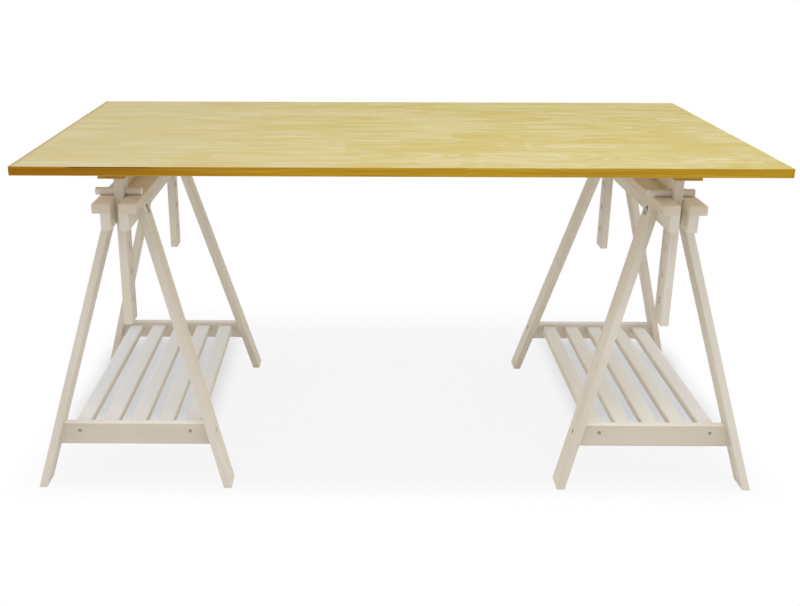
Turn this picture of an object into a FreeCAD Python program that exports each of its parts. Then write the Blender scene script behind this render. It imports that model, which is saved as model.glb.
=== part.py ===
import FreeCAD, Part
import os

# Trestle table: a loose tabletop on two height-adjustable wooden trestles.
# Millimetres. Origin on the floor under the middle of the tabletop, +Z up, front towards -Y.

V = FreeCAD.Vector
UP = V(0, 0, 1)
ACROSS = V(1, 0, 0)
ALONG = V(0, 1, 0)

# Tabletop
top_length = 1500.0
top_depth = 820.0
top_thickness = 18.0
top_edge_radius = 1.0
trestle_spacing = 1130.0

# Rails: each is a flat cap on an upright board, one each side of the slot for the posts
rail_length = 730.0
rail_height = 636.0
cap_width = 35.0
cap_thickness = 19.0
board_thickness = 19.0
board_height = 36.0
rail_edge_radius = 2.0

# Posts, pegs and bearer
post_width = 17.5
post_depth = 52.0
post_setback = 53.0
post_edge_radius = 1.5
post_tail = 49.0
slide_clearance = 0.6
hole_pitch = 58.0
hole_count = 5
peg_diameter = 16.0
peg_length = 95.0
peg_chamfer = 1.2
peg_clearance = 0.5
peg_rest_gap = 0.3
left_peg_shift = -5.0
right_peg_shift = -8.0
bearer_lift = 51.0
bearer_width = 54.0
bearer_thickness = 16.0
bearer_edge_radius = 1.5

# Legs: level sections, drawn in sideways and lengthways towards the top
foot_spread = 421.0
foot_setback = 4.0
leg_thickness = 17.5
leg_depth = 56.0
leg_setback = 94.0
leg_edge_radius = 2.0

# Shelf
shelf_height = 136.0
crossbar_height = 47.0
crossbar_thickness = 20.0
crossbar_edge_radius = 4.0
slat_count = 5
slat_width = 37.0
slat_end_gap = 17.0
slat_thickness = 17.0
slat_drop = 8.5
slat_edge_radius = 5.0
slat_end_relief = 2.0
dowel_diameter = 8.0
dowel_in_slat = 18.0
dowel_end_gap = 1.0

# Spacer that fills the slot between the two posts, and the bolts at the top of the legs
spacer_end_gap = 5.0
spacer_drop = 6.0
apex_bolt_rise = 14.0
apex_bolt_inset = 33.0
apex_bolt_diameter = 8.0
apex_head_width = 13.0
apex_head_height = 5.3
apex_nut_height = 6.5
apex_washer_diameter = 17.0
apex_washer_thickness = 2.0
apex_recess_diameter = 20.0
apex_seat_wall = 6.0
apex_thread_end = 2.0

# Bolts and barrel nuts that hold the crossbars
shelf_bolt_diameter = 6.0
shelf_bolt_drop = 16.5
shelf_head_diameter = 10.0
shelf_head_height = 5.0
shelf_recess_diameter = 11.0
shelf_seat_wall = 9.0
shelf_thread_end = 6.0
hex_socket_width = 4.0
hex_socket_depth = 2.5
barrel_diameter = 8.0
barrel_length = 11.0
barrel_recess = 1.5
barrel_inset = 39.0
barrel_slot_width = 1.4
barrel_slot_depth = 1.2

# Screws that hold the bearer on the posts
screw_diameter = 4.5
screw_head_diameter = 9.0
screw_head_height = 3.0
screw_length = 55.0
screw_pitch = 28.0
cross_slot_width = 1.2
cross_slot_depth = 1.5

# Play in drilled holes, and how far a cut runs past a face
bolt_play = 0.3
wood_play = 0.1
overrun = 5.0

# Largest sine of the angle at which an edge counts as parallel, and distance at which it counts as level
parallel_share = 0.01
level_distance = 0.001

# Places that follow from the sizes above
foot_length = rail_length - 2 * foot_setback
rail_gap = post_width + 2 * slide_clearance
spacer_length = rail_length - 2 * (post_setback + post_depth + spacer_end_gap)
board_outer = rail_gap / 2 + board_thickness
cap_bottom = rail_height - cap_thickness
board_bottom = cap_bottom - board_height
bolt_height = board_bottom + apex_bolt_rise
bearer_bottom = rail_height + bearer_lift
bearer_top = bearer_bottom + bearer_thickness
peg_height = rail_height + peg_rest_gap + peg_diameter / 2
post_bottom = peg_height - (hole_count - 1) * hole_pitch - post_tail
shelf_bolt_height = shelf_height - shelf_bolt_drop
crossbar_bottom = shelf_height - crossbar_height
slat_top = shelf_height - slat_drop
slat_bottom = slat_top - slat_thickness
barrel_bottom = barrel_recess + barrel_length
dowel_in_crossbar = crossbar_thickness - barrel_bottom - dowel_end_gap

# Run of a leg per unit of height, sideways and lengthways
apex_half = board_outer + leg_thickness
spread_share = (foot_spread / 2 - apex_half) / board_bottom
lean_share = (leg_setback - foot_setback) / board_bottom


def leg_outer_at(height):
    return foot_spread / 2 - spread_share * height


def leg_inner_at(height):
    return leg_outer_at(height) - leg_thickness


def leg_front_at(height):
    return foot_length / 2 - lean_share * height


def leg_middle_at(height):
    return leg_front_at(height) - leg_depth / 2


def block(low, high):
    size = high - low
    return Part.makeBox(size.x, size.y, size.z, low)


def prism(points, sweep):
    return Part.Face(Part.makePolygon(points + points[:1])).extrude(sweep)


def rod(start, direction, diameter, length):
    return Part.makeCylinder(diameter / 2, length, start, direction)


def hexagon(start, direction, width, length):
    corner_radius = width / (3 ** 0.5)
    points = [V(corner_radius, 0, 0)]
    turn = FreeCAD.Rotation(UP, 60)
    for _ in range(5):
        points.append(turn.multVec(points[-1]))
    solid = prism(points, V(0, 0, length))
    solid.Placement = FreeCAD.Placement(start, FreeCAD.Rotation(UP, direction))
    return solid


def softened(solid, radius, along=None, seam=None):
    # Rounds every edge, or only the edges that run along one direction. A glued seam stays sharp.
    edges = []
    for edge in solid.Edges:
        ends = [vertex.Point for vertex in edge.Vertexes]
        run = ends[-1] - ends[0]
        at_seam = seam is not None and max(abs(point.z - seam) for point in ends) < level_distance
        parallel = along is None or run.cross(along).Length < run.Length * along.Length * parallel_share
        if parallel and not at_seam:
            edges.append(edge)
    return solid.makeFillet(radius, edges)


def save(name, *solids):
    shape = solids[0]
    if len(solids) > 1:
        shape = Part.makeCompound(list(solids))
    shape.exportStep("parts/" + name + ".step")


def tabletop():
    half = V(top_length / 2, top_depth / 2, 0)
    low = V(0, 0, bearer_top) - half
    high = V(0, 0, bearer_top + top_thickness) + half
    return softened(block(low, high), top_edge_radius)


def apex_bolt_place(middle, end):
    return V(middle, end * (leg_front_at(bolt_height) - apex_bolt_inset), bolt_height)


def apex_bolt_places(middle):
    return [apex_bolt_place(middle, end) for end in (-1, 1)]


def shelf_bolt_places(middle):
    places = []
    bolt_line = crossbar_front_at(shelf_bolt_height) - barrel_recess - barrel_length / 2
    for end in (-1, 1):
        for hand in (-1, 1):
            place = V(middle, end * bolt_line, shelf_bolt_height)
            places.append((end, hand, place))
    return places


def leg(middle, end, hand):
    # A leg stands at one end of its trestle and on one hand of it, leaning in both ways.
    outer = middle + hand * foot_spread / 2
    inner = outer - hand * leg_thickness
    front = end * foot_length / 2
    back = front - end * leg_depth
    points = [V(outer, front, 0), V(inner, front, 0), V(inner, back, 0), V(outer, back, 0)]
    sweep = V(-hand * spread_share * cap_bottom, -end * lean_share * cap_bottom, cap_bottom)
    solid = softened(prism(points, sweep), leg_edge_radius, sweep)
    reach = V(board_outer, rail_length / 2, 0)
    seat = block(V(middle, 0, board_bottom) - reach, V(middle, 0, cap_bottom + overrun) + reach)
    solid = solid.cut(seat)
    for place in apex_bolt_places(middle):
        seat_start = place + ACROSS * hand * (board_outer + apex_seat_wall)
        solid = solid.cut(rod(place, ACROSS * hand, apex_bolt_diameter + 2 * bolt_play, foot_spread))
        solid = solid.cut(rod(seat_start, ACROSS * hand, apex_recess_diameter, foot_spread))
    for _, _, place in shelf_bolt_places(middle):
        seat_start = place + ACROSS * hand * (leg_inner_at(shelf_bolt_height) + shelf_seat_wall)
        solid = solid.cut(rod(place, ACROSS * hand, shelf_bolt_diameter + 2 * bolt_play, foot_spread))
        solid = solid.cut(rod(seat_start, ACROSS * hand, shelf_recess_diameter, foot_spread))
    return solid


def rail_cap(middle, hand):
    inner = middle + hand * rail_gap / 2
    outer = inner + hand * cap_width
    low = V(min(inner, outer), -rail_length / 2, cap_bottom)
    high = V(max(inner, outer), rail_length / 2, rail_height)
    return softened(block(low, high), rail_edge_radius, None, cap_bottom)


def rail_board(middle, hand):
    inner = middle + hand * rail_gap / 2
    outer = middle + hand * board_outer
    low = V(min(inner, outer), -rail_length / 2, board_bottom)
    high = V(max(inner, outer), rail_length / 2, cap_bottom)
    solid = softened(block(low, high), rail_edge_radius, None, cap_bottom)
    for place in apex_bolt_places(middle):
        solid = solid.cut(rod(place, ACROSS * hand, apex_bolt_diameter + 2 * bolt_play, foot_spread))
    return solid


def spacer_strip(middle):
    half = V(rail_gap / 2, spacer_length / 2, 0)
    low = V(middle, 0, board_bottom) - half
    high = V(middle, 0, rail_height - spacer_drop) + half
    solid = block(low, high)
    for place in apex_bolt_places(middle):
        start = place - ACROSS * rail_gap
        solid = solid.cut(rod(start, ACROSS, apex_bolt_diameter + 2 * bolt_play, 2 * rail_gap))
    return solid


def apex_fasteners(middle, side):
    # The heads face the other trestle, the nuts face outwards.
    bolts = []
    washers = []
    nuts = []
    inward = ACROSS * -side
    seat = board_outer + apex_seat_wall
    grip = seat + apex_washer_thickness
    for place in apex_bolt_places(middle):
        thread_end = place - inward * (grip + apex_nut_height + apex_thread_end)
        shank_length = 2 * grip + apex_nut_height + apex_thread_end
        shank = rod(thread_end, inward, apex_bolt_diameter, shank_length)
        head = hexagon(place + inward * grip, inward, apex_head_width, apex_head_height)
        bolts.append(shank.fuse(head).removeSplitter())
        nut = hexagon(place - inward * grip, inward * -1, apex_head_width, apex_nut_height)
        bore = rod(place, inward * -1, apex_bolt_diameter + 2 * wood_play, foot_spread)
        nuts.append(nut.cut(bore))
        for way in (inward, inward * -1):
            washer = rod(place + way * seat, way, apex_washer_diameter, apex_washer_thickness)
            washers.append(washer.cut(rod(place, way, apex_bolt_diameter + 2 * wood_play, foot_spread)))
    return bolts, washers, nuts


def crossbar_front_at(height):
    return leg_middle_at(height) + crossbar_thickness / 2


def crossbar(middle, end):
    points = []
    for height, hand in ((crossbar_bottom, -1), (crossbar_bottom, 1), (shelf_height, 1), (shelf_height, -1)):
        points.append(V(middle + hand * leg_inner_at(height), end * crossbar_front_at(height), height))
    solid = prism(points, ALONG * -end * crossbar_thickness)
    solid = softened(solid, crossbar_edge_radius, ACROSS)
    for slat in range(slat_count):
        solid = solid.cut(slat_dowel(slat_middle(middle, slat), end, wood_play))
    for bolt_end, hand, place in shelf_bolt_places(middle):
        if bolt_end == end:
            tip = barrel_middle(hand) - hand * shelf_thread_end - hand * overrun
            start = place + ACROSS * tip
            solid = solid.cut(rod(start, ACROSS * hand, shelf_bolt_diameter + 2 * bolt_play, foot_spread))
            solid = solid.cut(barrel_hole(place, end, hand))
    return solid


def barrel_middle(hand):
    return hand * (leg_inner_at(shelf_bolt_height) - barrel_inset)


def barrel_start(place, end, hand):
    face = V(place.x + barrel_middle(hand), end * crossbar_front_at(shelf_bolt_height), place.z)
    return face - ALONG * end * barrel_recess


def barrel_hole(place, end, hand):
    start = barrel_start(place, end, hand) + ALONG * end * (barrel_recess + overrun)
    depth = barrel_bottom + overrun + wood_play
    return rod(start, ALONG * -end, barrel_diameter + 2 * wood_play, depth)


def barrel_nut(place, end, hand):
    start = barrel_start(place, end, hand)
    solid = rod(start, ALONG * -end, barrel_diameter, barrel_length)
    half = V(barrel_slot_width / 2, barrel_slot_depth, barrel_diameter)
    solid = solid.cut(block(start - half, start + half))
    return solid.cut(rod(place, ACROSS * hand, shelf_bolt_diameter + 2 * wood_play, foot_spread))


def shelf_bolt(place, end, hand):
    seat = leg_inner_at(shelf_bolt_height) + shelf_seat_wall
    tip = leg_inner_at(shelf_bolt_height) - barrel_inset - shelf_thread_end
    shank = rod(place + ACROSS * hand * tip, ACROSS * hand, shelf_bolt_diameter, seat - tip)
    head = rod(place + ACROSS * hand * seat, ACROSS * hand, shelf_head_diameter, shelf_head_height)
    socket_start = place + ACROSS * hand * (seat + shelf_head_height - hex_socket_depth)
    socket = hexagon(socket_start, ACROSS * hand, hex_socket_width, hex_socket_depth + overrun)
    return shank.fuse(head).removeSplitter().cut(socket)


def slat_middle(middle, slat):
    # The outer slats stand one end gap from the legs, and the others share the row evenly.
    outermost = leg_inner_at(slat_top) - slat_end_gap - slat_width / 2
    pitch = 2 * outermost / (slat_count - 1)
    return middle - outermost + slat * pitch


def slat_end_at(height):
    return crossbar_front_at(height) - crossbar_thickness


def slat_dowel(place_x, end, play=0.0):
    height = slat_bottom + slat_thickness / 2
    joint = slat_end_at(height)
    start = V(place_x, end * (joint - dowel_in_slat - play), height)
    length = dowel_in_slat + dowel_in_crossbar + 2 * play
    return rod(start, ALONG * end, dowel_diameter + 2 * play, length)


def shelf_slat(middle, slat):
    place_x = slat_middle(middle, slat)
    left = place_x - slat_width / 2
    # The upper end edges are eased, because the crossbars lean in over the slats.
    shoulder = slat_top - slat_end_relief
    profile = [(slat_end_at(slat_bottom), slat_bottom), (slat_end_at(shoulder), shoulder)]
    profile.append((slat_end_at(slat_top) - slat_end_relief, slat_top))
    points = [V(left, reach, height) for reach, height in profile]
    points += [V(left, -reach, height) for reach, height in reversed(profile)]
    solid = softened(prism(points, ACROSS * slat_width), slat_edge_radius, ALONG)
    for end in (-1, 1):
        solid = solid.cut(slat_dowel(place_x, end, wood_play))
    return solid


def post_middle(end):
    return end * (rail_length / 2 - post_setback - post_depth / 2)


def post(middle, end):
    low = V(middle - post_width / 2, post_middle(end) - post_depth / 2, post_bottom)
    high = V(middle + post_width / 2, post_middle(end) + post_depth / 2, bearer_bottom)
    solid = softened(block(low, high), post_edge_radius, UP)
    for step in range(hole_count):
        start = V(middle - post_width, post_middle(end), peg_height - step * hole_pitch)
        solid = solid.cut(rod(start, ACROSS, peg_diameter + 2 * peg_clearance, 2 * post_width))
    for place in screw_places(middle, end):
        pilot = rod(place, UP * -1, screw_diameter + 2 * wood_play, screw_length + wood_play)
        solid = solid.cut(pilot)
    return solid


def peg(middle, end, shift):
    start = V(middle + shift - peg_length / 2, post_middle(end), peg_height)
    solid = rod(start, ACROSS, peg_diameter, peg_length)
    rims = [edge for edge in solid.Edges if edge.Closed]
    return solid.makeChamfer(peg_chamfer, rims)


def screw_places(middle, end):
    return [V(middle, post_middle(end) + hand * screw_pitch / 2, bearer_top) for hand in (-1, 1)]


def bearer(middle):
    low = V(middle - bearer_width / 2, -rail_length / 2, bearer_bottom)
    high = V(middle + bearer_width / 2, rail_length / 2, bearer_top)
    solid = softened(block(low, high), bearer_edge_radius)
    for end in (-1, 1):
        for place in screw_places(middle, end):
            solid = solid.cut(screw_body(place, wood_play))
    return solid


def screw_body(place, play=0.0):
    head = Part.makeCone(
        screw_head_diameter / 2 + play, screw_diameter / 2 + play, screw_head_height, place, UP * -1)
    shank = rod(place, UP * -1, screw_diameter + 2 * play, screw_length)
    return head.fuse(shank)


def bearer_screw(place):
    solid = screw_body(place)
    reach = V(screw_diameter / 2, screw_diameter / 2, cross_slot_depth)
    for thin in (V(cross_slot_width / 2, reach.y, reach.z), V(reach.x, cross_slot_width / 2, reach.z)):
        solid = solid.cut(block(place - thin, place + thin))
    return solid


def trestle(name, side, peg_shift):
    middle = side * trestle_spacing / 2
    hands = (("outer", side), ("inner", -side))
    ends = (("front", -1), ("back", 1))
    for hand_name, hand in hands:
        save(name + "_" + hand_name + "_rail_cap", rail_cap(middle, hand))
        save(name + "_" + hand_name + "_rail_board", rail_board(middle, hand))
        for end_name, end in ends:
            save(name + "_" + end_name + "_" + hand_name + "_leg", leg(middle, end, hand))
    for end_name, end in ends:
        save(name + "_" + end_name + "_crossbar", crossbar(middle, end))
        save(name + "_" + end_name + "_post", post(middle, end))
        save(name + "_" + end_name + "_peg", peg(middle, end, peg_shift))
    save(name + "_spacer_strip", spacer_strip(middle))
    for slat in range(slat_count):
        save(name + "_shelf_slat_" + str(slat + 1), shelf_slat(middle, slat))
    bolts, washers, nuts = apex_fasteners(middle, side)
    save(name + "_apex_bolts", *bolts)
    save(name + "_apex_washers", *washers)
    save(name + "_apex_nuts", *nuts)
    places = [(place, end, hand) for end, hand, place in shelf_bolt_places(middle)]
    save(name + "_shelf_bolts", *[shelf_bolt(*place) for place in places])
    save(name + "_barrel_nuts", *[barrel_nut(*place) for place in places])
    dowels = []
    screws = []
    for _, end in ends:
        dowels += [slat_dowel(slat_middle(middle, slat), end) for slat in range(slat_count)]
        screws += [bearer_screw(place) for place in screw_places(middle, end)]
    save(name + "_slat_dowels", *dowels)
    save(name + "_bearer", bearer(middle))
    save(name + "_bearer_screws", *screws)


os.makedirs("parts", exist_ok=True)
save("tabletop", tabletop())
trestle("left", -1, left_peg_shift)
trestle("right", 1, right_peg_shift)
print("foot spread", foot_spread, "height", bearer_top + top_thickness)
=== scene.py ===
import itertools
import math

import bpy
from mathutils import Matrix, Vector


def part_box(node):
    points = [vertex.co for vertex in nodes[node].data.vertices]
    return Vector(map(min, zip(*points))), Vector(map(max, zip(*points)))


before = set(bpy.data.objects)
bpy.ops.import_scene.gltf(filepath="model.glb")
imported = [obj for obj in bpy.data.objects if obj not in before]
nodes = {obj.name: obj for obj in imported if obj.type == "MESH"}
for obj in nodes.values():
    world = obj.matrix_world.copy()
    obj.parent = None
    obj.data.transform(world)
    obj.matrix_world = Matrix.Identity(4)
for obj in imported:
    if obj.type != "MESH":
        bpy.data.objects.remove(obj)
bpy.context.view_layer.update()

# Trestle table: a pine top on two limed trestles, lit plainly on a pale floor.
print("frame loaded:", len(nodes), "nodes")


class Strand:
    # One shader socket, so that maths on it reads as plain sums.
    def __init__(self, tree, socket=None):
        self.tree = tree
        self.socket = socket

    def add(self, kind, settings=None, values=None, out=0):
        node = self.tree.nodes.new(kind)
        for name, setting in (settings or {}).items():
            setattr(node, name, setting)
        for name, value in (values or {}).items():
            if isinstance(value, Strand):
                self.tree.links.new(value.socket, node.inputs[name])
            else:
                node.inputs[name].default_value = value
        return Strand(self.tree, node.outputs[out])

    def other(self, out):
        return Strand(self.tree, self.socket.node.outputs[out])

    def maths(self, operation, first, second=0.0):
        return self.add("ShaderNodeMath", {"operation": operation}, {0: first, 1: second})

    def fract(self):
        return self.maths("FRACT", self)

    def atLeast(self, value):
        return self.maths("MAXIMUM", self, value)

    def __add__(self, value):
        return self.maths("ADD", self, value)

    def __radd__(self, value):
        return self.maths("ADD", value, self)

    def __sub__(self, value):
        return self.maths("SUBTRACT", self, value)

    def __rsub__(self, value):
        return self.maths("SUBTRACT", value, self)

    def __mul__(self, value):
        return self.maths("MULTIPLY", self, value)

    def __rmul__(self, value):
        return self.maths("MULTIPLY", value, self)

    def __truediv__(self, value):
        return self.maths("DIVIDE", self, value)

    def __pow__(self, value):
        return self.maths("POWER", self, value)

    def __abs__(self):
        return self.maths("ABSOLUTE", self)


# Noise detail and roughness, from soft to fine
softDetail = (2.0, 0.5)
evenDetail = (3.0, 0.5)
broadDetail = (3.0, 0.55)
fineDetail = (4.0, 0.6)
reliefDepth = 0.001


def xyz(place):
    split = place.add("ShaderNodeSeparateXYZ", values={"Vector": place}, out="X")
    return split, split.other("Y"), split.other("Z")


def joined(x, y, z):
    source = next(part for part in (x, y, z) if isinstance(part, Strand))
    return source.add("ShaderNodeCombineXYZ", values={"X": x, "Y": y, "Z": z})


def cloud(vector, grade, scale=1.0):
    detail, rough = grade
    values = {"Vector": vector, "Scale": scale, "Detail": detail, "Roughness": rough}
    return vector.add("ShaderNodeTexNoise", values=values, out="Fac")


def streaks(grain, stretch, grade):
    # Noise drawn out along the grain: stretch is its pace along and across, per metre.
    along, across, through = grain
    return cloud(joined(along * stretch[0], across * stretch[1], through * stretch[1]), grade)


def ease(value, low, high):
    # Smooth step from 0 at low to 1 at high.
    values = {"Value": value, "From Min": low, "From Max": high}
    return value.add("ShaderNodeMapRange", {"interpolation_type": "SMOOTHSTEP"}, values)


def tint(mask, under, over):
    settings = {"data_type": "RGBA", "blend_type": "MIX"}
    return mask.add("ShaderNodeMix", settings, {0: mask, 6: under, 7: over}, 2)


def rgb(red, green, blue):
    # Colours are written as they show on screen, 0 to 255, and turned linear by the usual screen curve.
    shares = [value / 255 for value in (red, green, blue)]
    linear = [((share + 0.055) / 1.055) ** 2.4 if share > 0.04045 else share / 12.92 for share in shares]
    return (*linear, 1.0)


def newFinish(name, plainColour):
    material = bpy.data.materials.new(name)
    material.use_nodes = True
    material.diffuse_color = plainColour
    tree = material.node_tree
    return material, tree.nodes["Principled BSDF"], Strand(tree)


def feed(shader, socket, strand):
    strand.tree.links.new(strand.socket, shader.inputs[socket])


def feedRelief(shader, height, strength):
    values = {"Strength": strength, "Distance": reliefDepth, "Height": height}
    feed(shader, "Normal", height.add("ShaderNodeBump", values=values))


def dress(material, *names):
    for name in names:
        mesh = nodes[name].data
        mesh.materials.clear()
        mesh.materials.append(material)


# Camera, matched to the photograph's edges
cameraView = {
    "place": (-0.0809, -2.3497, 1.1383),
    "pitch": 19.605,        # degrees below level
    "yaw": -0.273,
    "roll": 0.141,
    "focal": 1033.6,        # pixels
    "axisColumn": 353.2,    # pixel column that the lens axis meets
    "imageWidth": 800,
    "sensor": 36.0,
}


def placeCamera(view):
    bpy.ops.object.camera_add(location=view["place"])
    camera = bpy.context.object
    camera.name = "photoCamera"
    level = math.radians(90 - view["pitch"])
    turn = Matrix.Rotation(math.radians(-view["yaw"]), 3, "Z") @ Matrix.Rotation(level, 3, "X")
    turn = turn @ Matrix.Rotation(math.radians(view["roll"]), 3, "Z")
    camera.rotation_euler = turn.to_euler()
    camera.data.sensor_width = view["sensor"]
    camera.data.lens = view["sensor"] * view["focal"] / view["imageWidth"]
    camera.data.shift_x = 0.5 - view["axisColumn"] / view["imageWidth"]
    bpy.context.scene.camera = camera


bpy.ops.object.select_all(action="DESELECT")
placeCamera(cameraView)
print("camera placed")


# Limed trestle wood, each piece with its own growth rings
limed = {
    "pale": rgb(227, 220, 208),
    "warm": rgb(221, 212, 198),
    "line": rgb(190, 171, 147),
    "thickWashAndHighlight": rgb(240, 240, 240),    # heavier wash on upper faces, with painted highlight there
    "washAndHighlightThin": 0.25,               # how much thinner that wash and its painted highlight get in patches
    "slot": rgb(240, 231, 217),     # painted light on the rail faces that the posts slide between, which lie in shade
    "faceTurn": (0.6, 0.95),        # share by which a face turns to take one of these
    "frontHighlightRun": (-0.16, -0.29),     # painted highlight on the slats towards the front, in metres
    "ringPitch": 0.0042,
    "ringRise": (0.35, 0.95),       # share of a ring over which its late wood darkens and ends
    "ringFall": (1.0, 0.94),
    "ringShow": 0.17,
    "fibreTone": (0.42, 0.75),
    "fibreShow": 0.12,
    "patchTone": (0.3, 0.72),
    "patchLines": (0.2, 0.75),      # rings show more in some patches
    "wander": 0.011,                # how far the rings stray, in metres
    "pieceStep": 3.1,               # metres along the noise from one piece to the next
    "swayStretch": (2.2, 9.0),
    "fibreStretch": (14.0, 520.0),
    "patchStretch": (3.0, 14.0),
    "piths": [                      # where the rings' middle lies across a piece, in metres
        (0.041, 0.022), (-0.055, 0.014), (0.018, -0.047),
        (-0.03, -0.038), (0.062, -0.012), (-0.012, 0.052),
    ],
    "roughness": 0.62,
    "fibreRough": 0.16,
    "patchSmooth": 0.06,
    "gloss": 0.3,
    "relief": 0.12,
    "fibreRelief": 0.7,
    "ringRelief": 0.4,
}
# Painted shade: a darker copy of the wash for the caps and spacer strip; their tops take the paler wash with
# painted highlight
limedCapShaded = {**limed, "pale": rgb(218, 206, 190), "warm": rgb(209, 195, 177), "thickWashAndHighlight": rgb(242, 233, 223)}
# Painted shade: a darker copy of the wash for the rail boards and back legs
limedShaded = {**limed, "pale": rgb(222, 214, 201), "warm": rgb(216, 206, 191)}
limedBar = {**limed, "pale": rgb(219, 210, 195), "warm": rgb(211, 200, 183)}
# The front crossbar's top takes a whiter wash with painted highlight; the back crossbars are paler all over,
# painted light on faces that lie in shade
limedBars = {
    "front": {**limedBar, "thickWashAndHighlight": rgb(254, 251, 245)},
    "back": {**limedBar, "pale": rgb(234, 226, 214), "warm": rgb(226, 216, 201)},
}
limedPeg = {**limed, "pale": rgb(230, 222, 213), "warm": rgb(222, 211, 199)}
# Slats: paler tops, a heavier wash with painted highlight; the left and right sets differ in tint
limedSlat = {
    "left": {**limed, "thickWashAndHighlight": rgb(238, 240, 245), "frontHighlight": rgb(247, 247, 248)},
    "right": {**limed, "thickWashAndHighlight": rgb(235, 234, 229), "frontHighlight": rgb(248, 247, 242)},
}
sliver = 0.001      # how near to an end a corner counts as on it, in metres
alongX, alongY, alongZ = range(3)
slatCount = 5
piths = itertools.cycle(limed["piths"])
seeds = itertools.count(1)


def grainRun(name, axis, signs):
    # Lean of a piece for each metre along it, and the middle of its section where it starts.
    low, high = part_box(name)
    sides = [side for side in range(3) if side != axis]
    if not signs:
        return (0.0, 0.0), [(low[side] + high[side]) / 2 for side in sides]
    points = [vertex.co for vertex in nodes[name].data.vertices]
    foot = [point for point in points if point[axis] < low[axis] + sliver]
    head = [point for point in points if point[axis] > high[axis] - sliver]
    leans, middles = [], []
    for side, sign in zip(sides, signs):
        footReach = max(point[side] * sign for point in foot)
        headReach = max(point[side] * sign for point in head)
        leans.append(sign * (headReach - footReach) / (high[axis] - low[axis]))
        middles.append((max(point[side] for point in foot) + min(point[side] for point in foot)) / 2)
    return leans, middles


def limedWood(name, look, axis, signs=None, upperWashAndHighlight=0.0, slotWay=0):
    material, shader, start = newFinish(name + "_finish", look["pale"])
    slopes, middle = grainRun(name, axis, signs)
    pith = next(piths)
    places = list(xyz(start.add("ShaderNodeTexCoord", out="Object")))
    run = places.pop(axis)
    across, through = [place - (slope * run + centre) for place, slope, centre in zip(places, slopes, middle)]
    grain = (run + look["pieceStep"] * next(seeds), across, through)
    sway = streaks(grain, look["swayStretch"], softDetail) - 0.5
    side = across + sway * look["wander"] - pith[0]
    depth = through + sway * look["wander"] - pith[1]
    rings = ((side * side + depth * depth) ** 0.5 / look["ringPitch"]).fract()
    late = ease(rings, *look["ringRise"]) * ease(rings, *look["ringFall"])
    fibre = streaks(grain, look["fibreStretch"], fineDetail)
    patch = streaks(grain, look["patchStretch"], broadDetail)
    wash = tint(ease(patch, *look["patchTone"]), look["pale"], look["warm"])
    lined = tint(late * look["ringShow"] * ease(patch, *look["patchLines"]), wash, look["line"])
    colour = tint(ease(fibre, *look["fibreTone"]) * look["fibreShow"], lined, look["line"])
    # Paler upper faces: a heavier wash with painted highlight
    if upperWashAndHighlight:
        upward = xyz(start.add("ShaderNodeNewGeometry", out="Normal"))[2]
        thickWashAndHighlight = look["thickWashAndHighlight"]
        # Painted highlight on the slats towards their front ends
        if "frontHighlight" in look:
            thickWashAndHighlight = tint(ease(run, *look["frontHighlightRun"]), thickWashAndHighlight, look["frontHighlight"])
        share = ease(upward, *look["faceTurn"]) * (upperWashAndHighlight - look["washAndHighlightThin"] * patch)
        colour = tint(share, colour, thickWashAndHighlight)
    # Painted light on the rail faces inside the slot, which lie in shade
    if slotWay:
        inward = xyz(start.add("ShaderNodeNewGeometry", out="Normal"))[0] * slotWay
        colour = tint(ease(inward, *look["faceTurn"]), colour, look["slot"])
    feed(shader, "Base Color", colour)
    feed(shader, "Roughness", look["roughness"] + look["fibreRough"] * fibre - look["patchSmooth"] * patch)
    feedRelief(shader, fibre * look["fibreRelief"] - late * look["ringRelief"], look["relief"])
    shader.inputs["Specular IOR Level"].default_value = look["gloss"]
    dress(material, name)


for side, outward in (("left", -1), ("right", 1)):
    for hand, way in (("outer", outward), ("inner", -outward)):
        for end, forth in (("front", -1), ("back", 1)):
            # Back legs take the darker copy: painted shade
            legLook = limed if end == "front" else limedShaded
            limedWood(f"{side}_{end}_{hand}_leg", legLook, alongZ, signs=(way, forth))
        # Caps take the darker copy, painted shade, with painted light on their tops and slot faces
        limedWood(f"{side}_{hand}_rail_cap", limedCapShaded, alongY, upperWashAndHighlight=1.0, slotWay=-way)
        # Rail boards take the darker copy: painted shade
        limedWood(f"{side}_{hand}_rail_board", limedShaded, alongY, slotWay=-way)
    for end in ("front", "back"):
        limedWood(f"{side}_{end}_crossbar", limedBars[end], alongX, upperWashAndHighlight=1.0)
        limedWood(f"{side}_{end}_peg", limedPeg, alongX)
        limedWood(f"{side}_{end}_post", limed, alongZ)
    limedWood(f"{side}_spacer_strip", limedCapShaded, alongY, upperWashAndHighlight=1.0)
    for slat in range(1, slatCount + 1):
        limedWood(f"{side}_shelf_slat_{slat}", limedSlat[side], alongY, upperWashAndHighlight=1.0)
    limedWood(f"{side}_slat_dowels", limed, alongY)
print("limed wood done")


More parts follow.
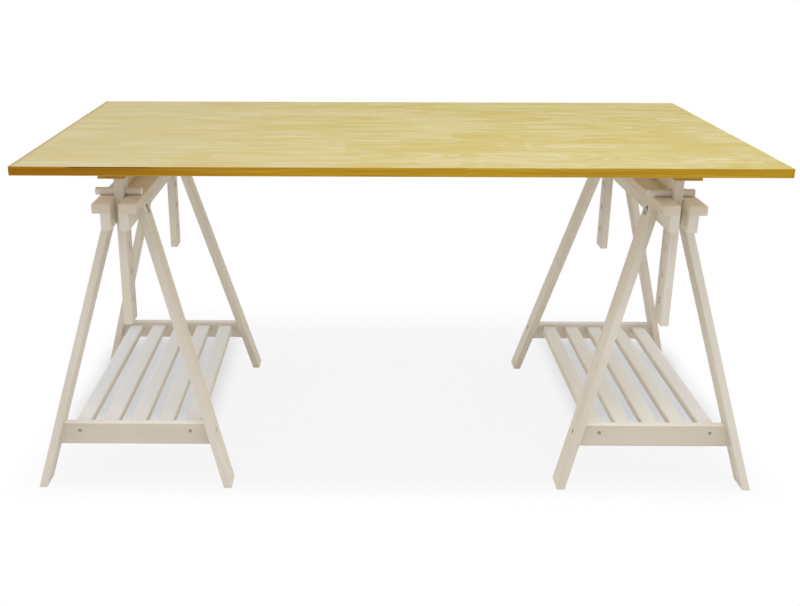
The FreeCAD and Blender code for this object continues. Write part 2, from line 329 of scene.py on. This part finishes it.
# Pine tabletop
pine = {
    "cream": rgb(217, 206, 158),
    "straw": rgb(205, 188, 112),
    "honey": rgb(196, 173, 76),
    "knot": rgb(188, 148, 64),
    "bare": rgb(229, 217, 184),     # underside
    "greyer": rgb(214, 203, 178),    # greyer cast towards the left end
    "greyerRun": (0.1, -0.7),          # and where it sets in, in metres
    "greyerShow": 0.33,
    "backShading": (0.0, 0.34),       # painted shade: where the colour deepens towards the back, in metres
    "backShadingShow": 0.12,
    "stavesPerMetre": 9.5,
    "staveSpread": 0.55,            # how uneven the staves are in width
    "blocksPerMetre": 2.6,          # finger-jointed lengths in a stave
    "blockSpread": 0.8,
    "blockShuffle": 50.0,           # how far a stave's blocks are slid along, in blocks
    "blockShift": 0.05,             # how far the pith jumps from block to block, in metres
    "blockTone": 0.14,              # share of the tone that changes with the block
    "pithSpread": 0.09,             # places of the pith under the staves, in metres
    "pithDepth": 0.02,
    "pithDepthSpread": 0.05,
    "driftPace": 1.3,
    "driftShuffle": (40.0, 30.0),
    "driftReach": 0.11,
    "swayPace": (4.0, 26.0),
    "swayShuffle": 20.0,
    "swayReach": 0.03,
    "ringPitch": 0.0065,
    "ringRise": (0.25, 0.9),
    "ringFall": (1.0, 0.9),
    "ringShow": 0.5,
    "broadPace": (0.35, 6.0),       # broad bands, across the rings and along the board
    "broadShuffle": 30.0,
    "broadTone": (0.34, 0.66),
    "fibreStretch": (9.0, 420.0),
    "fibreTone": (0.45, 0.8),
    "fibreShow": 0.3,
    "knotPace": (1.3, 7.0),         # knots per metre along and across
    "knotKept": (0.55, 0.6),        # share of them that is left out
    "knotSwell": (0.3, 0.0),        # radius at which the rings start to swell round a knot
    "knotCore": (0.05, 0.015),
    "swellReach": 0.03,
    "knotShow": 0.5,
    "roughness": 0.46,
    "fibreRough": 0.18,
    "gloss": 0.05,
    "relief": 0.08,
    "fibreRelief": 0.6,
    "ringRelief": 0.3,
    "faceTurn": (0.55, 0.8),        # share by which a face turns up or down to count as a top or underside
}
pineEdge = {
    "gold": rgb(198, 160, 44),
    "brown": rgb(155, 102, 12),
    "resin": rgb(88, 50, 8),
    "stretch": (3.0, 230.0),
    "tone": (0.38, 0.66),
    "lineShow": 0.45,
    "ringShow": 0.2,
    "redRun": (-0.2, -0.62),        # where the edge turns redder, in metres
    "redRagged": 0.25,
    "redShow": 0.55,
    "blotchPace": 9.0,
    "resinDepth": (0.004, 0.001),   # below the upper face, in metres
    "resinRun": (-0.44, -0.5),
    "resinTone": (0.32, 0.46),
    "resinShow": 0.8,
    "arris": 0.014,                 # width of the stain that runs over the left end
    "arrisShow": 0.4,
}


def pineTop(look, rim):
    material, shader, start = newFinish("pineTop", look["straw"])
    low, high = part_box("tabletop")
    x, y, z = grain = xyz(start.add("ShaderNodeTexCoord", out="Object"))
    staveSettings = {"voronoi_dimensions": "1D", "feature": "F1"}
    staveValues = {"W": y * look["stavesPerMetre"], "Scale": 1.0, "Randomness": look["staveSpread"]}
    stave = start.add("ShaderNodeTexVoronoi", staveSettings, staveValues, "Color")
    luck = xyz(stave)
    middle = stave.other("W") / look["stavesPerMetre"]
    blockPlace = x * look["blocksPerMetre"] + luck[1] * look["blockShuffle"]
    blockValues = {"W": blockPlace, "Scale": 1.0, "Randomness": look["blockSpread"]}
    block = xyz(start.add("ShaderNodeTexVoronoi", staveSettings, blockValues, "Color"))

    # Scattered knots that the rings flow round
    knotSettings = {"voronoi_dimensions": "2D", "feature": "F1"}
    knotAlong, knotAcross = look["knotPace"]
    knotValues = {"Vector": joined(x * knotAlong, y * knotAcross, 0.0), "Scale": 1.0}
    knots = start.add("ShaderNodeTexVoronoi", knotSettings, knotValues, "Distance")
    kept = ease(xyz(knots.other("Color"))[0], *look["knotKept"])
    swell = ease(knots, *look["knotSwell"]) * kept
    core = ease(knots, *look["knotCore"]) * kept

    # Growth rings round a pith that drifts under each stave
    driftAlong, driftAcross = look["driftShuffle"]
    driftPlace = joined(x * look["driftPace"] + luck[2] * driftAlong, luck[0] * driftAcross, 0.0)
    drift = cloud(driftPlace, softDetail) - 0.5
    swayAlong, swayAcross = look["swayPace"]
    sway = cloud(joined(x * swayAlong, y * swayAcross, luck[1] * look["swayShuffle"]), broadDetail) - 0.5
    offset = y - middle + (luck[0] - 0.5) * look["pithSpread"] + (block[1] - 0.5) * look["blockShift"]
    below = z - high.z + look["pithDepth"] + luck[1] * look["pithDepthSpread"]
    below = below + drift * look["driftReach"] + sway * look["swayReach"] + swell * look["swellReach"]
    phase = (offset * offset + below * below) ** 0.5 / look["ringPitch"]
    rings = phase.fract()
    late = ease(rings, *look["ringRise"]) * ease(rings, *look["ringFall"])
    bandAcross, bandAlong = look["broadPace"]
    bandPlace = joined(phase * bandAcross, x * bandAlong, luck[2] * look["broadShuffle"])
    broad = cloud(bandPlace, evenDetail) * (1 - look["blockTone"]) + block[0] * look["blockTone"]
    fibre = streaks(grain, look["fibreStretch"], fineDetail)
    figure = tint(ease(broad, *look["broadTone"]), look["cream"], look["straw"])
    figure = tint(late * look["ringShow"], figure, look["honey"])
    figure = tint(ease(fibre, *look["fibreTone"]) * look["fibreShow"], figure, look["honey"])
    figure = tint(core * look["knotShow"], figure, look["knot"])
    figure = tint(ease(x, *look["greyerRun"]) * look["greyerShow"], figure, look["greyer"])
    # Painted shade: the colour deepens towards the back
    figure = tint(ease(y, *look["backShading"]) * look["backShadingShow"], figure, look["honey"])

    # Golden sawn edges, redder and resin-streaked at the left
    lines = streaks(grain, rim["stretch"], fineDetail)
    redder = ease(x + (lines - 0.5) * rim["redRagged"], *rim["redRun"])
    brownShare = ease(lines, *rim["tone"]) * rim["lineShow"] + redder * rim["redShow"]
    edge = tint(brownShare, rim["gold"], rim["brown"])
    edge = tint(late * rim["ringShow"], edge, rim["brown"])
    blotch = cloud(joined(x * rim["blotchPace"], y * rim["blotchPace"], 0.0), softDetail)
    resin = ease(z, *[high.z - depth for depth in rim["resinDepth"]])
    resin = resin * ease(x, *rim["resinRun"]) * ease(blotch, *rim["resinTone"])
    edge = tint(resin * rim["resinShow"], edge, rim["resin"])
    figure = tint(ease(x, low.x + rim["arris"], low.x) * rim["arrisShow"], figure, rim["brown"])
    under = tint(late * look["ringShow"], look["bare"], look["straw"])
    upward = xyz(start.add("ShaderNodeNewGeometry", out="Normal"))[2]
    colour = tint(ease(upward, *look["faceTurn"]), edge, figure)
    colour = tint(ease(upward, *[-turn for turn in look["faceTurn"]]), colour, under)
    feed(shader, "Base Color", colour)
    feed(shader, "Roughness", look["roughness"] + look["fibreRough"] * fibre)
    feedRelief(shader, fibre * look["fibreRelief"] - late * look["ringRelief"], look["relief"])
    shader.inputs["Specular IOR Level"].default_value = look["gloss"]
    dress(material, "tabletop")


pineTop(pine, pineEdge)
print("pine top done")


# Stained bearers under the top
stained = {
    "gold": rgb(192, 148, 62),
    "brown": rgb(154, 104, 32),
    "fibreStretch": (9.0, 300.0),
    "patchStretch": (2.5, 20.0),
    "fibreShare": 0.6,
    "tone": (0.35, 0.68),
    "roughness": 0.58,
    "fibreRough": 0.2,
    "gloss": 0.2,
    "relief": 0.1,
}


def stainedPine(look):
    material, shader, start = newFinish("stainedPine", look["gold"])
    x, y, z = xyz(start.add("ShaderNodeTexCoord", out="Object"))
    fibre = streaks((y, x, z), look["fibreStretch"], fineDetail)
    patch = streaks((y, x, z), look["patchStretch"], evenDetail)
    figure = fibre * look["fibreShare"] + patch * (1 - look["fibreShare"])
    feed(shader, "Base Color", tint(ease(figure, *look["tone"]), look["gold"], look["brown"]))
    feed(shader, "Roughness", look["roughness"] + look["fibreRough"] * fibre)
    feedRelief(shader, fibre, look["relief"])
    shader.inputs["Specular IOR Level"].default_value = look["gloss"]
    dress(material, "left_bearer", "right_bearer")


stainedPine(stained)
print("bearers done")


# Zinc-plated fasteners
zinc = {
    "bright": rgb(178, 174, 166),
    "dull": rgb(120, 116, 108),
    "bloomScale": 260.0,
    "scratchScale": 1400.0,
    "tone": (0.4, 0.7),
    "roughness": 0.38,
    "bloomRough": 0.25,
}


def zincSteel(look):
    material, shader, start = newFinish("zincSteel", look["bright"])
    place = start.add("ShaderNodeTexCoord", out="Object")
    bloom = cloud(place, fineDetail, look["bloomScale"])
    scratch = cloud(place, softDetail, look["scratchScale"])
    feed(shader, "Base Color", tint(ease(bloom, *look["tone"]), look["bright"], look["dull"]))
    feed(shader, "Roughness", look["roughness"] + look["bloomRough"] * (bloom * scratch))
    shader.inputs["Metallic"].default_value = 1.0
    for side in ("left", "right"):
        for kind in ("apex_bolts", "apex_washers", "apex_nuts", "shelf_bolts", "barrel_nuts", "bearer_screws"):
            dress(material, f"{side}_{kind}")


zincSteel(zinc)
print("fasteners done")


# Floor and white surround
surround = {
    "size": 60.0,
    "grey": rgb(247, 247, 247),
    "white": (1.0, 1.0, 1.0, 1.0),
    "shade": rgb(205, 205, 206),    # shadow of each shelf, which falls back and outwards from it
    "shadeMiddles": (-0.618, 0.645),
    "shadeHalf": (0.215, 0.115),    # half its width, from where it starts to where it is full
    "shadeFront": (-0.14, 0.03),
    "shadeBack": (0.64, 0.5),
    "shadeLean": -1.7,              # how far the light that the shelf blocks leans to the front
    "shadeReach": 0.5,
    "shadeOpen": (0.95, 0.86),      # open share of that light, where the shadow starts and where it is full
    "shadeSamples": 16,
    "sides": (0.88, 0.70),          # where the grey patch starts and where it is full, in metres
    "front": (-0.46, -0.29),
    "back": (0.87, 0.5),
    "albedo": 0.88,
    "shadowShare": 0.045,           # share of the lamps' own shadow that shows on the patch
    "ambient": 0.72,
}


def seenRay(start):
    path = start.add("ShaderNodeLightPath", out="Is Camera Ray")
    return path.atLeast(path.other("Is Glossy Ray").atLeast(path.other("Is Transmission Ray")))


def makeFloor(look):
    bpy.ops.object.select_all(action="DESELECT")
    bpy.ops.mesh.primitive_plane_add(size=look["size"])
    floor = bpy.context.object
    floor.name = "floor"
    material, shader, start = newFinish("paleFloor", look["grey"])
    x, y, _ = xyz(start.add("ShaderNodeTexCoord", out="Object"))
    patch = ease(abs(x), *look["sides"]) * ease(y, *look["front"]) * ease(y, *look["back"])
    seen = tint(patch, look["white"], look["grey"])
    under = sum(ease(abs(x - middle), *look["shadeHalf"]) for middle in look["shadeMiddles"])
    under = under * ease(y, *look["shadeFront"]) * ease(y, *look["shadeBack"])
    lean = start.add("ShaderNodeCombineXYZ", values={"Y": look["shadeLean"], "Z": 1.0})
    shelter = {"Distance": look["shadeReach"], "Normal": lean}
    openShare = start.add("ShaderNodeAmbientOcclusion", {"samples": look["shadeSamples"]}, shelter, "AO")
    shaded = tint(ease(openShare, *look["shadeOpen"]), seen, look["shade"])
    bright = start.add("ShaderNodeEmission", values={"Color": seen})
    dim = start.add("ShaderNodeEmission", values={"Color": shaded})
    glow = start.add("ShaderNodeMixShader", values={0: under, 1: bright, 2: dim})
    matt = start.add("ShaderNodeBsdfDiffuse", values={"Color": (*[look["albedo"]] * 3, 1.0)})
    share = seenRay(start) * (1 - look["shadowShare"] * patch)
    mixed = start.add("ShaderNodeMixShader", values={0: share, 1: matt, 2: glow})
    feed(material.node_tree.nodes["Material Output"], "Surface", mixed)
    material.node_tree.nodes.remove(shader)
    floor.data.materials.append(material)


def makeWorld(look):
    world = bpy.data.worlds.new("whiteSurround")
    world.use_nodes = True
    bpy.context.scene.world = world
    background = world.node_tree.nodes["Background"]
    background.inputs["Color"].default_value = look["white"]
    feed(background, "Strength", look["ambient"] + (1 - look["ambient"]) * seenRay(Strand(world.node_tree)))


makeFloor(surround)
makeWorld(surround)
print("floor and surround done")

# Soft lamps: one over the front right of the top, one low at each side for the shelves, and a faint one behind
lamps = {
    "overhead": {"place": (0.35, -0.85, 2.2), "size": 1.5, "power": 10.5},
    "leftSide": {"place": (-3.2, -0.4, 1.2), "size": 1.8, "power": 25.0},
    "rightSide": {"place": (3.2, -0.4, 1.2), "size": 1.8, "power": 25.0},
    "behind": {"place": (0.0, 3.6, 1.3), "size": 2.5, "power": 3.0},
}
lampAim = Vector((0.0, 0.0, 0.4))
for name, lamp in lamps.items():
    bpy.ops.object.light_add(type="AREA", location=lamp["place"])
    light = bpy.context.object
    light.name = name + "Lamp"
    light.data.size = lamp["size"]
    light.data.energy = lamp["power"]
    light.visible_camera = False
    light.rotation_euler = (lampAim - light.location).to_track_quat("-Z", "Y").to_euler()
bpy.context.scene.view_settings.view_transform = "Standard"
print("lamps done")
